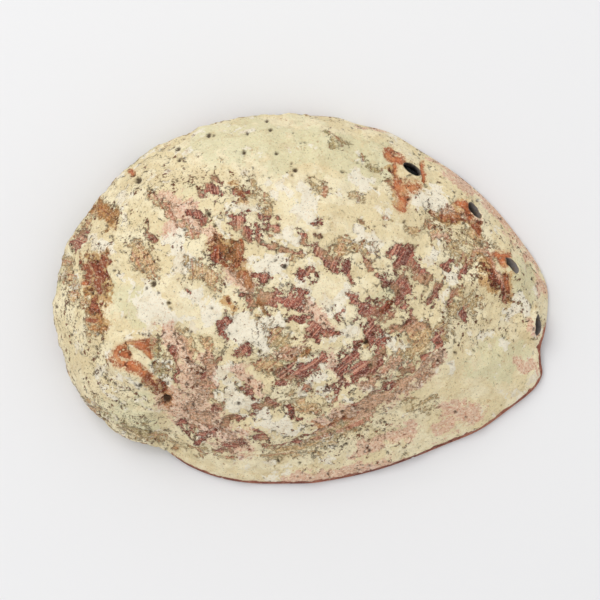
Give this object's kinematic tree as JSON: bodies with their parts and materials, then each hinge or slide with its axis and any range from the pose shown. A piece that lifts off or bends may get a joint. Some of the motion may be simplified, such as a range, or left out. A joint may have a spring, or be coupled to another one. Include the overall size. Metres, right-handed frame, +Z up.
{
  "type": "abalone shell",
  "caption": "Ear-shaped abalone shell lying mouth down: a low dome with a small spiral curl, a row of raised pores, a flat inner lip and a crusted outside.",
  "frame": {"origin": "under the middle of the shell's bounding box, on the surface that the rim stands on", "axes": "+X to the growing front edge, +Y to the side with the row of pores, +Z up through the top of the dome"},
  "size_m": [0.1999, 0.1496, 0.0574],
  "materials": {
    "encrusted_shell": "matt, chalky crust over brick red shell"
  },
  "bodies": {
    "root": {"shell": "encrusted_shell"}
  },
  "joints": []
}
